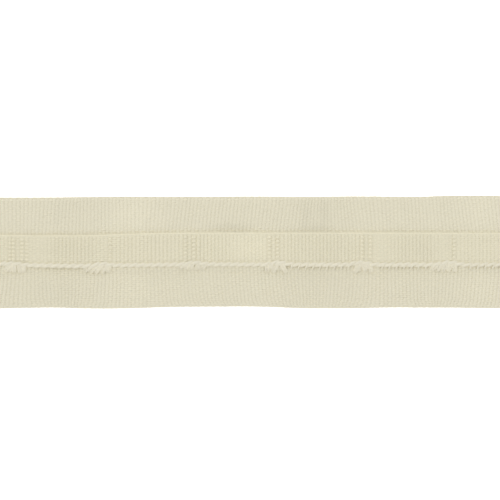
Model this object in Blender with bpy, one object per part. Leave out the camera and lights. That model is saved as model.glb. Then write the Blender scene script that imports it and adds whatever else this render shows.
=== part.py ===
"""A cut length of roman blind tape, 25 mm wide: a ribbed woven tape with a row of pockets on its face.

The tape is woven in one, and its weft shows as ribs that run straight across it, 30 to a tape's width.
The ground tape lies flat on its back. The pocket band lies along the middle of its face: it is joined to the
ground along its upper line and at each division, and between divisions it stands a little proud, open along
its mouth, where the weave turns round a thick strand. Stitches tie the strand down at each division. Cords and
rod hooks pass through the pockets.

X runs along the tape, Y across it towards the upper edge, Z up from the face that is sewn to the blind.
"""

import math

import bmesh
import bpy
import numpy as np

MM = 0.001

# Driving sizes
TAPE_WIDTH = 25.0 * MM
RIBS_PER_WIDTH = 30
RIBS_PER_POCKET = (24, 24, 22, 22, 24, 24, 24)
END_RIBS = 3.5
GROUND_THICKNESS = 1.0 * MM
BAND_THICKNESS = 1.0 * MM
GAP = 0.3 * MM

# Sizes worked out from them
RIB_PITCH = TAPE_WIDTH / RIBS_PER_WIDTH
TAPE_LENGTH = (sum(RIBS_PER_POCKET) + 2 * END_RIBS) * RIB_PITCH
FIRST_DIVISION = END_RIBS * RIB_PITCH - TAPE_LENGTH / 2

# The ground is woven thinner under the band, where the two layers share its yarns
RECESS = 0.28 * MM
LINE_TRENCH_TOP = 0.35 * MM
LINE_TRENCH_FOOT = 0.2 * MM
MOUTH_STEP = 0.1 * MM

# Relief of the weave
RIB_RELIEF = 0.06 * MM
SELVEDGE_SCALLOP = 0.05 * MM
SELVEDGE_DROP = 0.28 * MM
SELVEDGE_SHOULDER = 0.7 * MM
FLANGE_SWELL = 0.07 * MM
SWELL_LENGTH = 41.0 * MM

# The pocket band, with how far its mouth stands open in each pocket, from the one past the left end onwards
POCKET_RISES = (0.2, 0.25, 0.36, 0.14, 0.18, 0.36, 0.36, 0.14, 0.2)
POCKET_FLATNESS = 0.7
BAND_LIFT = GROUND_THICKNESS - RECESS + GAP
LINE_DROP = 0.55 * MM
LINE_SHOULDER = 1.6 * MM
STRAND_WIDTH = 1.12 * MM
STRAND_RAISE = 0.16 * MM
STRAND_TWIST = 0.06 * MM
BEAD_RELIEF = 0.12 * MM
DIVISION_RELIEF = 0.1 * MM

# The band's ribs lie closer in some pockets than in others: places in mm from the tape's middle, with the rib's
# number from the first whole join. Between pockets one rib is low, and those beside it stand up in beads
BAND_RIBS = (
    (-71.25, -26.5), (-50.17, -1.0), (-48.26, 1.0), (-47.19, 2.0), (-29.45, 23.0), (-27.5, 25.0), (-12.56, 42.0),
    (-11.57, 43.0), (-9.70, 45.0), (-8.65, 46.0), (6.22, 64.0), (7.28, 65.0), (9.14, 67.0), (11.03, 69.0),
    (27.04, 89.0), (28.08, 90.0), (29.89, 92.0), (30.93, 93.0), (47.23, 113.0), (48.74, 115.0), (49.79, 116.0),
    (71.25, 141.5),
)
DIVISION_RIBS = (-23, 0, 23, 44, 66, 91, 114, 138)
BEADED_RIBS = (-24, -22, -1, 1, 24, 43, 45, 65, 67, 90, 92, 115, 137, 139)

# The stitched ties at the joins, from left to right: the tie's place, width and height, and the place and size
# of the strand's hump over it, all in mm, with places from the join's middle
JOIN_COLUMNS = ("tie_place", "tie_width", "tie", "hump_place", "hump")
JOINS = (
    (0.0, 5.0, 0.5, 0.5, 0.4),
    (-1.5, 5.4, 0.6, -2.2, 0.3),
    (-3.1, 5.6, 0.5, -1.4, 0.4),
    (-0.1, 5.8, 0.4, 0.5, 0.4),
    (0.5, 5.6, 0.6, 1.0, 0.5),
    (0.3, 5.4, 0.6, -0.6, 0.5),
    (-1.6, 6.0, 0.55, -0.6, 0.5),
    (0.0, 5.0, 0.5, 0.5, 0.4),
)
TIE_TOP = 0.32 * MM
TIE_SHOULDER = 0.85 * MM
TIE_FOOT = 1.4 * MM
HUMP_LENGTH = 2.0 * MM

# How the lengthwise lines wander, in mm from the tape's middle, and how far the ribs of the upper and lower
# flange lean, in degrees, to the right going down
SECTION_COLUMNS = ("along", "upper_edge", "band_line", "mouth", "lower_edge", "upper_lean", "lower_lean")
SECTIONS = (
    (-71.25, 12.45, 3.85, -3.30, -12.50, 0.0, 0.0),
    (-53.2, 12.33, 3.85, -3.18, -12.64, 2.0, -9.0),
    (-42.0, 12.35, 3.80, -3.43, -12.45, -4.0, 4.0),
    (-33.0, 12.45, 3.85, -3.52, -12.64, -1.0, -4.0),
    (-24.0, 12.52, 4.15, -3.36, -12.60, 0.0, -1.0),
    (-16.2, 12.49, 4.35, -3.25, -12.33, -6.0, 3.0),
    (-8.3, 12.49, 4.40, -3.17, -12.25, -6.5, 6.0),
    (2.9, 12.55, 4.40, -3.20, -12.22, -6.0, 5.0),
    (14.2, 12.48, 4.40, -3.25, -12.58, -6.5, 5.0),
    (20.9, 12.50, 4.40, -3.25, -12.60, 1.0, -4.0),
    (26.5, 12.58, 4.40, -3.25, -12.60, 7.0, -5.0),
    (35.5, 12.52, 4.40, -3.25, -12.42, 2.0, 2.0),
    (41.1, 12.49, 4.40, -3.25, -12.45, 3.0, 1.0),
    (47.8, 12.70, 4.38, -3.25, -12.45, 6.0, -4.0),
    (56.8, 12.73, 4.35, -3.25, -12.56, 7.0, -6.0),
    (71.25, 12.60, 4.30, -3.25, -12.50, 0.0, 0.0),
)

CREAM = (221, 215, 192)
PALE_CREAM = (224, 219, 197)
CLOTH_ROUGHNESS = 0.9


def clear_scene():
    for thing in list(bpy.data.objects):
        bpy.data.objects.remove(thing)


def linear(channel):
    share = channel / 255
    return share / 12.92 if share <= 0.04045 else ((share + 0.055) / 1.055) ** 2.4


def cloth(name, colour):
    material = bpy.data.materials.new(name)
    material.use_nodes = True
    shader = material.node_tree.nodes["Principled BSDF"]
    shader.inputs["Base Color"].default_value = (*map(linear, colour), 1.0)
    shader.inputs["Roughness"].default_value = CLOTH_ROUGHNESS
    shader.inputs["Metallic"].default_value = 0.0
    return material


def smooth_through(x, knots, values):
    """The height at x of one smooth curve through the given points."""
    slopes = np.gradient(values, knots)
    i = np.clip(np.searchsorted(knots, x) - 1, 0, len(knots) - 2)
    step = knots[i + 1] - knots[i]
    t = (x - knots[i]) / step
    ease = t * t * (3 - 2 * t)
    bend = t * (1 - t) * step * ((1 - t) * slopes[i] - t * slopes[i + 1])
    return values[i] + (values[i + 1] - values[i]) * ease + bend


def ground_stations():
    """Where the ground's cross-sections stand: in each groove between its even ribs and on each rib's crown."""
    steps = round(2 * TAPE_LENGTH / RIB_PITCH)
    places = np.arange(steps + 1)
    crowned = np.where(places % 2 == 1, 1.0, -1.0)
    return places * RIB_PITCH / 2 - TAPE_LENGTH / 2, crowned


def band_stations():
    """Where the band's cross-sections stand, with the rib's number at each, and which are on a crown."""
    places, ribs = np.array(BAND_RIBS).T
    rib = np.arange(ribs[0], ribs[-1] + 0.25, 0.5)
    crowned = np.where(rib % 1 == 0, 1.0, -1.0)
    return np.interp(rib, ribs, places * MM), rib, crowned


def lines_at(x):
    """The wandering lines at each station, in metres and radians, with the outline centred on Y."""
    table = dict(zip(SECTION_COLUMNS, np.array(SECTIONS).T))
    knots = table.pop("along") * MM
    lines = {name: smooth_through(x, knots, values) for name, values in table.items()}
    every = ground_stations()[0]
    top = smooth_through(every, knots, table["upper_edge"]).max()
    bottom = smooth_through(every, knots, table["lower_edge"]).min()
    for name in ("upper_edge", "band_line", "mouth", "lower_edge"):
        lines[name] = (lines[name] - (top + bottom) / 2) * MM
    for name in ("upper_lean", "lower_lean"):
        lines[name] = np.radians(lines[name])
    return lines


def divisions():
    """The middles of the woven joins between pockets, with one more past each cut end."""
    inner = FIRST_DIVISION + RIB_PITCH * np.cumsum((0, *RIBS_PER_POCKET))
    before = inner[0] - RIBS_PER_POCKET[0] * RIB_PITCH
    after = inner[-1] + RIBS_PER_POCKET[-1] * RIB_PITCH
    return np.array([before, *inner, after])


def pocket_rise(x):
    """How far the mouth stands up over its lowest, at a division."""
    joins = divisions()
    i = np.clip(np.searchsorted(joins, x) - 1, 0, len(joins) - 2)
    t = np.clip((x - joins[i]) / (joins[i + 1] - joins[i]), 0, 1)
    return np.array(POCKET_RISES)[i] * MM * np.sin(math.pi * t) ** POCKET_FLATNESS


def join_shapes(x):
    """How high the stitched ties stand at each station, and how far the strand humps over them."""
    table = dict(zip(JOIN_COLUMNS, np.array(JOINS).T * MM))
    tie = np.zeros(len(x))
    hump = np.zeros(len(x))
    for i, join in enumerate(divisions()[1:-1]):
        near = (x - join - table["tie_place"][i]) / (table["tie_width"][i] / 2)
        tie += table["tie"][i] * np.exp(-(near**4))
        hump += table["hump"][i] * np.exp(-(((x - join - table["hump_place"][i]) / HUMP_LENGTH) ** 2))
    return tie, hump


def join_relief(rib):
    """A division is one low rib, with raised ones beside it."""
    return BEAD_RELIEF * np.isin(rib, BEADED_RIBS) - DIVISION_RELIEF * np.isin(rib, DIVISION_RIBS)


def ring(x, lines, points):
    """Stacks the points of every cross-section, each shifted along the tape as the ribs of its flange lean."""
    shape = np.empty((len(x), len(points), 3))
    for i, (y, z) in enumerate(points):
        above = np.maximum(y - lines["band_line"], 0)
        below = np.maximum(lines["mouth"] - y, 0)
        shift = np.tan(lines["lower_lean"]) * below - np.tan(lines["upper_lean"]) * above
        shape[:, i] = np.stack([x + shift, y, np.broadcast_to(z, x.shape)], axis=1)
    return shape


def loft(name, rings, material):
    """One closed body through the rings of points, with its first and last ring capped."""
    shape = bmesh.new()
    loops = [[shape.verts.new(point) for point in points] for points in rings]
    sides = len(loops[0])
    for near, far in zip(loops, loops[1:]):
        for i in range(sides):
            j = (i + 1) % sides
            shape.faces.new((near[i], near[j], far[j], far[i]))
    shape.faces.new(loops[0])
    shape.faces.new(loops[-1])
    bmesh.ops.recalc_face_normals(shape, faces=shape.faces)
    mesh = bpy.data.meshes.new(name)
    shape.to_mesh(mesh)
    shape.free()
    mesh.materials.append(material)
    piece = bpy.data.objects.new(name, mesh)
    bpy.context.collection.objects.link(piece)
    return piece


def make_ground(x, crowned, lines, material):
    """The tape itself: a flat back, ribbed face, soft selvedges and the stitched ties below the mouth."""
    mouth = lines["mouth"]
    tie, _ = join_shapes(x)
    scallop = crowned * SELVEDGE_SCALLOP
    upper = lines["upper_edge"] + scallop - SELVEDGE_SCALLOP
    lower = lines["lower_edge"] - scallop + SELVEDGE_SCALLOP
    top = GROUND_THICKNESS + crowned * RIB_RELIEF
    wave = FLANGE_SWELL * np.sin(math.tau * x / SWELL_LENGTH)
    edge_top = GROUND_THICKNESS - SELVEDGE_DROP
    recessed = GROUND_THICKNESS - RECESS
    points = (
        (upper, 0.0),
        (upper, edge_top),
        (upper - SELVEDGE_SHOULDER, top),
        ((upper + lines["band_line"]) / 2, top + wave),
        (lines["band_line"] + LINE_TRENCH_TOP, top),
        (lines["band_line"] + LINE_TRENCH_FOOT, recessed),
        (mouth + MOUTH_STEP, recessed),
        (mouth - MOUTH_STEP, top),
        (mouth - TIE_TOP, top + tie),
        (mouth - TIE_SHOULDER, top + 0.7 * tie),
        (mouth - TIE_FOOT, top),
        ((lower + mouth) / 2, top - wave),
        (lower + SELVEDGE_SHOULDER, top),
        (lower, edge_top),
        (lower, 0.0),
    )
    return loft("ground_tape", ring(x, lines, points), material)


def make_band(x, rib, crowned, lines, material):
    """The second layer of weave on the face, rounded at its upper line and turned round a strand at its mouth."""
    line = lines["band_line"]
    _, hump = join_shapes(x)
    mouth = lines["mouth"] + hump
    rise = pocket_rise(x)
    relief = crowned * RIB_RELIEF + join_relief(rib)
    strand_inner = mouth + STRAND_WIDTH
    top = BAND_LIFT + BAND_THICKNESS
    strand_crown = top + rise + STRAND_RAISE + crowned * STRAND_TWIST

    def lift(y):
        return rise * (line - y) / (line - mouth)

    shoulder = line - LINE_SHOULDER
    middle = (line + strand_inner) / 2
    points = (
        (line, BAND_LIFT),
        (line, top - LINE_DROP),
        (shoulder, top + lift(shoulder) + relief),
        (middle, top + lift(middle) + relief),
        (strand_inner, top + lift(strand_inner) + relief / 2),
        (mouth + STRAND_WIDTH / 2, strand_crown),
        (mouth, BAND_LIFT + BAND_THICKNESS / 2 + rise),
        (mouth + STRAND_WIDTH / 3, BAND_LIFT + rise),
    )
    return loft("pocket_band", ring(x, lines, points), material)


def main():
    clear_scene()
    x, crowned = ground_stations()
    make_ground(x, crowned, lines_at(x), cloth("ground cloth", CREAM))
    x, rib, crowned = band_stations()
    make_band(x, rib, crowned, lines_at(x), cloth("band cloth", PALE_CREAM))


main()
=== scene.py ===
"""Looks of a cut length of roman blind tape: cream cloth ribbed across, with a band of pockets on its face.

The ground cloth and the pocket cloth are closed sheets whose faces carry the ribs of the weft. The warp
that floats over the ribs, the beads by the joins, the thick strand of the pockets' mouth, the yarns that
tie it down and the loops of the selvedges lie on them as yarns of their own.
"""

import math

import bmesh
import bpy
import numpy as np
from bpy.props import FloatProperty, FloatVectorProperty, IntProperty, PointerProperty
from bpy.types import Operator, Panel, PropertyGroup
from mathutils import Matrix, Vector


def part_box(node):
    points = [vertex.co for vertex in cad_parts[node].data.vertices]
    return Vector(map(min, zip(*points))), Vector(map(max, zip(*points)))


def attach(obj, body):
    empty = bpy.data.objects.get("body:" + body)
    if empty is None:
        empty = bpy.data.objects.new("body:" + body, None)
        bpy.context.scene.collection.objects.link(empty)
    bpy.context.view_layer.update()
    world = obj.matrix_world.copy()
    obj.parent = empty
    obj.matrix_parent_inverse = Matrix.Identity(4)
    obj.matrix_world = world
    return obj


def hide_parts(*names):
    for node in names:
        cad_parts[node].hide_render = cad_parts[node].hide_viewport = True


bl_info = {
    "name": "Roman blind tape",
    "version": (1, 0, 0),
    "blender": (4, 5, 0),
    "location": "3D View > Sidebar > Blind tape",
    "description": "Makes the woven cloths, yarns and stage of a cut length of roman blind tape",
    "category": "Add Mesh",
}

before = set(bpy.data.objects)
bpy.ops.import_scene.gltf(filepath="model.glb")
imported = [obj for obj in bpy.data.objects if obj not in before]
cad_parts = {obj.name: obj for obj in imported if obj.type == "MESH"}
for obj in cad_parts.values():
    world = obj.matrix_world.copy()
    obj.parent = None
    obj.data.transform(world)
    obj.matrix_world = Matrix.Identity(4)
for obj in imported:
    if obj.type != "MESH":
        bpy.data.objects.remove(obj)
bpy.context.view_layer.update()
GROUND_LOW, GROUND_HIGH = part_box("ground_tape")
BAND_LOW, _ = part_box("pocket_band")

MM = 0.001

# Sizes of the tape, which its solids share
TAPE_WIDTH = 25.0 * MM
RIB_PITCH = TAPE_WIDTH / 30
RIBS_PER_POCKET = (24, 24, 22, 22, 24, 24, 24)
TAPE_LENGTH = GROUND_HIGH.x - GROUND_LOW.x
GROUND_THICKNESS = 1.0 * MM
RECESS = 0.28 * MM
BAND_LIFT = BAND_LOW.z

# How finely the cloth is made: points along each rib, rows for each warp yarn, and samples of the outline
STATIONS_PER_RIB = 4
GROUND_ROWS_PER_YARN = 1.5
BAND_ROWS_PER_YARN = 1.6
HIDDEN_ROWS = 7
OUTLINE_SAMPLES = 343

# The weft's ribs: how uneven their height is, and how far a crown stands over the mean, as shares
RIB_UNEVENNESS = 0.12
CROWN_OVER_MEAN = 0.2

# A warp yarn where it runs level, how much wider it is pressed on a float, and how far it wanders
WARP_HALF_WIDTH = 0.232 * MM
WARP_HALF_HEIGHT = 0.12 * MM
WARP_SPREAD = 0.028 * MM
WARP_WANDER = 0.03 * MM
WARP_PATCH = 0.4 * MM
WARP_SIDES = 6

# Shades: the weft's mean, and painted light on its crowns with painted shade in its grooves; painted light
# on a float over a rib with painted shade where it dives; one yarn against the next, at random; painted
# shade on the band's back, where no light reaches
WEFT_TONE = 0.99
RIB_PAINTED_SHADING = 0.05
FLOAT_PAINTED_SHADING = 0.02
YARN_TONE = 0.012
UNDERSIDE_PAINTED_SHADE = 0.97

# The selvedges: rounded shoulders, how far they lie inside the outline, scallops, small roughness and how
# many stations apart it is on the two edges
SELVEDGE_SHOULDER = 0.75 * MM
SELVEDGE_DROP = 0.33 * MM
SELVEDGE_INSET = 0.06 * MM
SELVEDGE_SCALLOP = 0.05 * MM
SELVEDGE_ROUGHNESS = 0.05 * MM
SELVEDGE_STAGGER = 37

# How far the ground's ribs stray: by the edges, less in the upper flange, and a little everywhere
SWIRL_REACH = 2.6 * MM
UPPER_SWIRL = 0.4
RIB_LOOSENESS = 0.04

# The ground's slow swells, the trough beside the band's upper line, and the faint ribs of the back
GROUND_SWELL = 0.06 * MM
TROUGH_DEPTH = 0.08 * MM
TROUGH_WIDTH = 0.6 * MM
BACK_RELIEF = 0.03 * MM

# The sill of cloth in the mouth under the strand, and where it is low: place, half length, missing share
MOUTH_SILL = 0.37 * MM
SILL_DIP = (-39.0, 7.5, 0.75)

# The band: the step at its upper line, its smooth lip, its height by the strand, where across it starts to
# roll down there and how far, and how low it lies at a join
LINE_STEP = 0.42 * MM
LIP_WIDTH = 0.34 * MM
BAND_CREST = 0.74 * MM
BAND_ROLL = 0.87
BAND_ROLL_DROP = 0.26 * MM
DIVISION_DROP = 0.05 * MM

# How far the mouth stands open in each pocket and in the part ones at both ends, in mm, and how flat-topped
POCKET_RISES = (0.2, 0.25, 0.36, 0.14, 0.18, 0.36, 0.36, 0.14, 0.2)
POCKET_FLATNESS = 0.7

# The thick strand of two plies: its width, the height of its middle at a join, how far it hangs below the
# band, its plies and the length of one turn, and its humps over the ties
STRAND_WIDTH = 1.12 * MM
STRAND_INNER = 0.85 * STRAND_WIDTH
STRAND_HEIGHT = GROUND_THICKNESS + 0.25 * MM
STRAND_DROP = 0.08 * MM
STRAND_CORE = 0.22 * MM
STRAND_PLY = 0.4 * MM
STRAND_LAY = 3.5 * MM
STRAND_STATIONS = 860
HUMP_LENGTH = 2.0 * MM
HUMP_LIFT = 0.1 * MM

# Seeds of the small unevenness of the cloth, one for each thing that varies
SEEDS = {
    "swirl": 5, "selvedges": 11, "loose ribs": 21, "ground warp": 21, "ground ribs": 22, "ground swells": 31,
    "band lip": 41, "band warp": 51, "band ribs": 52, "strand": 61, "floats": 71, "ties": 81,
}

# Where the photograph's frame lies on the tape
PHOTO_WIDTH_PX = 500
TAPE_WIDTH_PX = 111.3
PIXEL = TAPE_WIDTH / TAPE_WIDTH_PX
TAPE_MIDDLE_PX = (237.0, 252.1)

# How the lengthwise lines wander, in mm from the tape's middle, and how far the ribs lean, in degrees to the
# right going down: in the upper flange, and in the lower one near the mouth, halfway and at the selvedge
LINE_COLUMNS = ("upper_edge", "band_line", "mouth", "lower_edge")
LEAN_COLUMNS = ("upper_lean", "near_lean", "lower_lean", "edge_lean")
SECTION_COLUMNS = ("along", *LINE_COLUMNS, *LEAN_COLUMNS)
SECTIONS = (
    (-71.25, 12.45, 3.85, -3.30, -12.50, 0.0, 0.0, 0.0, 0.0),
    (-53.2, 12.33, 3.85, -3.18, -12.64, 2.0, -5.0, -9.0, -26.4),
    (-42.0, 12.35, 3.80, -3.43, -12.45, -4.0, 1.0, 4.0, 17.6),
    (-33.0, 12.45, 3.85, -3.52, -12.64, -1.0, 1.0, -4.0, -22.0),
    (-24.0, 12.52, 4.15, -3.36, -12.60, 0.0, 3.0, -1.0, -8.8),
    (-16.2, 12.49, 4.35, -3.25, -12.33, -6.0, 3.0, 3.0, 22.0),
    (-8.3, 12.49, 4.40, -3.17, -12.25, -6.5, 2.0, 6.0, 28.6),
    (2.9, 12.55, 4.40, -3.20, -12.22, -6.0, 2.0, 5.0, 26.4),
    (14.2, 12.48, 4.40, -3.25, -12.58, -6.5, 1.0, 5.0, 8.8),
    (20.9, 12.50, 4.40, -3.25, -12.60, 1.0, -1.0, -4.0, -13.2),
    (26.5, 12.58, 4.40, -3.25, -12.60, 7.0, -1.0, -5.0, -19.8),
    (35.5, 12.52, 4.40, -3.25, -12.42, 2.0, 2.0, 2.0, 6.6),
    (41.1, 12.49, 4.40, -3.25, -12.45, 3.0, 1.0, 1.0, 11.0),
    (47.8, 12.70, 4.38, -3.25, -12.45, 6.0, -1.0, -4.0, -13.2),
    (56.8, 12.73, 4.35, -3.25, -12.56, 7.0, -2.0, -6.0, -17.6),
    (71.25, 12.60, 4.30, -3.25, -12.50, 0.0, 0.0, 0.0, 0.0),
)

# The ground's ribs are evenly spaced. The pocket cloth's lie closer in some pockets than in others: places
# in mm from the tape's middle, each with its rib's number from the first whole join
BAND_RIBS = (
    (-71.25, -26.5), (-50.17, -1.0), (-48.26, 1.0), (-47.19, 2.0), (-29.45, 23.0), (-27.5, 25.0),
    (-12.56, 42.0), (-11.57, 43.0), (-9.70, 45.0), (-8.65, 46.0), (6.22, 64.0), (7.28, 65.0),
    (9.14, 67.0), (11.03, 69.0), (27.04, 89.0), (28.08, 90.0), (29.89, 92.0), (30.93, 93.0),
    (47.23, 113.0), (48.74, 115.0), (49.79, 116.0), (71.25, 141.5),
)

# The low ribs between pockets, and the beaded ribs beside them with the size of their beads
DIVISION_RIBS = (-23, 0, 23, 44, 66, 91, 114, 138)
BEADED_RIBS = (
    (-24, 0.8), (-22, 0.8), (-2, 0.5), (-1, 1.1), (1, 1.1), (2, 0.7), (24, 0.6), (43, 0.4), (45, 0.8),
    (46, 0.4), (65, 0.9), (67, 0.9), (90, 1.1), (92, 1.1), (115, 0.5), (137, 0.8), (139, 0.8),
)

# The beads: how many stand in a column, how far apart and how far below the band's upper line, their size,
# how far a full one stands up and its ends dive, and how much painted shade darkens the cloth beside it
BEAD_ROWS = 6
BEAD_PITCH = 0.887 * MM
FIRST_BEAD = 1.02 * MM
BEAD_HALF_LENGTH = 0.52 * RIB_PITCH
BEAD_HALF_WIDTH = 0.41 * MM
BEAD_RISE = 0.05 * MM
BEAD_DIVE = 0.09 * MM
BESIDE_BEAD_PAINTED_SHADE = 0.035

# Where the cloth above the band's line is slack and sinks: place and half length in mm, and how much more
LINE_SLACK = ((-1.0, 5.0, 2.2), (17.6, 5.0, 2.0), (36.0, 2.0, 0.9), (-32.0, 2.5, 0.6))

# How tightly the band's ribs stand out along the tape: slack cloth by the joins, taut over the open pockets
BAND_TIGHTNESS = (
    (-71.25, 1.0), (-50.0, 1.0), (-46.5, 0.35), (-43.5, 0.6), (-40.0, 1.2), (-33.0, 1.2), (-29.5, 0.5),
    (-26.0, 1.1), (-14.0, 1.1), (-9.0, 1.2), (-3.0, 1.05), (4.0, 0.8), (9.0, 1.0), (13.0, 1.1), (24.0, 1.15),
    (28.5, 1.0), (31.5, 0.35), (34.0, 0.6), (36.5, 1.1), (43.0, 1.1), (46.5, 0.4), (50.0, 0.8), (71.25, 0.8),
)

# The joins between pockets, from left to right: the pad of cloth under the tie (place, width, height) and
# the strand's hump over it (place, size), all in mm, with places from the join's middle
JOIN_COLUMNS = ("pad_place", "pad_width", "pad", "hump_place", "hump")
JOINS = (
    (0.0, 5.0, 0.52, 0.5, 0.4),
    (-1.6, 5.2, 0.58, -2.0, 0.3),
    (-3.0, 5.4, 0.5, -1.8, 0.4),
    (-0.1, 6.2, 0.55, 0.5, 0.4),
    (0.4, 4.8, 0.62, 1.0, 0.5),
    (0.1, 4.6, 0.6, -0.6, 0.5),
    (-1.1, 4.4, 0.55, -0.6, 0.5),
    (0.0, 5.0, 0.52, 0.5, 0.4),
)

# Soft pale and dark areas of painted light and shade, for the light on the cloth's slow undulations: place
# along and across, half length, half width in mm, and amount
PAINTED_SHADING_PATCHES = (
    (-23.5, 9.0, 5.5, 4.5, 0.045),
    (54.0, 9.5, 6.5, 4.0, 0.035),
    (18.5, 9.0, 4.5, 4.0, -0.025),
    (-38.0, 9.0, 6.0, 4.0, -0.015),
    (-1.3, 5.7, 4.2, 0.9, -0.05),
    (15.4, 8.0, 0.8, 3.6, -0.035),
    (19.8, 8.2, 1.1, 3.6, -0.035),
    (17.5, 5.4, 4.0, 0.9, -0.03),
    (3.5, 1.0, 5.5, 2.8, 0.05),
    (-38.5, 0.5, 7.0, 3.0, -0.025),
    (20.0, 0.5, 6.0, 3.0, -0.025),
    (40.5, 0.5, 5.5, 3.0, -0.025),
    (-24.0, -8.0, 5.0, 4.0, 0.025),
    (55.5, -8.0, 5.0, 4.0, 0.03),
    (-42.0, -9.0, 6.0, 3.0, -0.02),
    (18.0, -7.0, 9.0, 3.5, -0.02),
    (0.0, -8.0, 90.0, 6.0, 0.005),
)


def joins():
    """The middles of the joins between pockets, along the tape."""
    ribs_at_ends = TAPE_LENGTH / RIB_PITCH - sum(RIBS_PER_POCKET)
    first = ribs_at_ends / 2 * RIB_PITCH - TAPE_LENGTH / 2
    return first + RIB_PITCH * np.cumsum((0, *RIBS_PER_POCKET))


JOIN_PLACES = joins()
JOIN_TABLE = {"place": JOIN_PLACES, **dict(zip(JOIN_COLUMNS, np.array(JOINS).T))}


def join_rows(*names):
    """The named values of each join, from left to right."""
    return zip(*(JOIN_TABLE[name] for name in names))


def ease(t):
    """A smooth step: 0 up to t = 0 and 1 from t = 1."""
    t = np.clip(t, 0, 1)
    return t * t * (3 - 2 * t)


def bulge(place, middle, half_length, power=4):
    """1 at the middle, falling to nothing past the half length. A higher power makes its top flatter."""
    return np.exp(-(((place - middle) / half_length) ** power))


def smooth_through(x, knots, values):
    """The height at x of one smooth curve through the given points."""
    slopes = np.gradient(values, knots)
    i = np.clip(np.searchsorted(knots, x) - 1, 0, len(knots) - 2)
    step = knots[i + 1] - knots[i]
    t = (x - knots[i]) / step
    rise = t * t * (3 - 2 * t)
    bend = t * (1 - t) * step * ((1 - t) * slopes[i] - t * slopes[i + 1])
    return values[i] + (values[i + 1] - values[i]) * rise + bend


def lines_at(x):
    """The wandering lines at each place along the tape, in metres, with the outline centred on Y."""
    table = dict(zip(SECTION_COLUMNS, np.array(SECTIONS).T))
    knots = table.pop("along") * MM
    lines = {name: smooth_through(x, knots, values) for name, values in table.items()}
    every = np.linspace(-TAPE_LENGTH / 2, TAPE_LENGTH / 2, OUTLINE_SAMPLES)
    top = smooth_through(every, knots, table["upper_edge"]).max()
    bottom = smooth_through(every, knots, table["lower_edge"]).min()
    for name in LINE_COLUMNS:
        lines[name] = (lines[name] - (top + bottom) / 2) * MM
    for name in LEAN_COLUMNS:
        lines[name] = np.tan(np.radians(lines[name]))
    return lines


def unevenness(u, v, size_u, size_v, seed):
    """Smooth noise from -1 to 1 over the cloth, in blobs of the given size."""
    draw = np.random.default_rng(seed)
    columns = int(2 * TAPE_LENGTH / size_u) + 4
    rows = int(3 * TAPE_WIDTH / size_v) + 4
    values = draw.uniform(-1, 1, (columns, rows))
    x = (u + TAPE_LENGTH) / size_u
    y = (v + 1.5 * TAPE_WIDTH) / size_v
    i = np.clip(np.floor(x).astype(int), 0, columns - 2)
    j = np.clip(np.floor(y).astype(int), 0, rows - 2)
    s = ease(x - i)
    t = ease(y - j)
    near = values[i, j] * (1 - s) + values[i + 1, j] * s
    far = values[i, j + 1] * (1 - s) + values[i + 1, j + 1] * s
    return near * (1 - t) + far * t


def rib_shift(u, above, below, lines):
    """How far a rib has moved along the tape: above the band line, or below the mouth, at that distance."""
    near_reach = 3.0 * MM
    edge_reach = 7.7 * MM
    near = np.minimum(below, near_reach)
    middle = np.clip(below - near_reach, 0, edge_reach - near_reach)
    edge = np.maximum(below - edge_reach, 0)
    lower = near * lines["near_lean"] + middle * lines["lower_lean"] + edge * lines["edge_lean"]
    return lower - above * lines["upper_lean"]


def painted_shading(u, v):
    """Soft pale and dark areas of painted light and shade, for where the cloth was slack or taut under the
    light.
    """
    shade = np.zeros(len(u))
    for along, across, length, width, amount in PAINTED_SHADING_PATCHES:
        shade += amount * np.exp(-(((u / MM - along) / length) ** 2) - (((v / MM - across) / width) ** 2))
    return shade


def pocket_rise(x):
    """How far the mouth stands up over its lowest, at a join."""
    before = JOIN_PLACES[0] - RIBS_PER_POCKET[0] * RIB_PITCH
    after = JOIN_PLACES[-1] + RIBS_PER_POCKET[-1] * RIB_PITCH
    places = np.array([before, *JOIN_PLACES, after])
    i = np.clip(np.searchsorted(places, x) - 1, 0, len(places) - 2)
    t = np.clip((x - places[i]) / (places[i + 1] - places[i]), 0, 1)
    return np.array(POCKET_RISES)[i] * MM * np.sin(math.pi * t) ** POCKET_FLATNESS


def rib_relief(rib, u, v, relief, seed):
    """Height of the weft's ribs over their mean: round crowns with narrow grooves between them."""
    crown = np.sqrt(np.maximum(1 - (2 * (rib - np.round(rib))) ** 2, 0))
    uneven = 1 + RIB_UNEVENNESS * unevenness(u, v, RIB_PITCH, 5 * MM, seed)
    return relief * uneven * (crown - (1 - CROWN_OVER_MEAN))


def float_path(rib, u, v, lane, base, relief, swing, bead, seed):
    """A warp yarn's line across and its height, its half sizes and its shade.

    It floats over every second rib and dives under the next, and the yarns beside it the other way round.
    """
    phase = np.cos(math.pi * (rib + lane))
    own = unevenness(u, v + lane * WARP_PATCH, 2 * RIB_PITCH, WARP_PATCH, seed + 2)
    wander = WARP_WANDER * unevenness(u, v, 2.2 * MM, WARP_PATCH, seed + 3)
    half_width = WARP_HALF_WIDTH + (WARP_SPREAD + 0.01 * MM * own) * phase
    half_height = WARP_HALF_HEIGHT + 0.01 * MM * own
    crown = base + CROWN_OVER_MEAN * relief
    height = crown + bead - WARP_HALF_HEIGHT + swing * (phase - 1) + 0.015 * MM * own
    # Painted light where the yarn floats over a rib and painted shade where it dives, and each yarn a little
    # paler or darker at random
    return v + wander, height, half_width, half_height, 1 + FLOAT_PAINTED_SHADING * phase + YARN_TONE * own


# Mesh tools


def hang(piece, material, *nodes):
    """Gives a piece its finish, smooth shading and its body, and hides the nodes that it stands for."""
    piece.data.materials.append(material)
    piece.data.shade_smooth()
    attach(piece, "root")
    if nodes:
        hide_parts(*nodes)
    return piece


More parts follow.
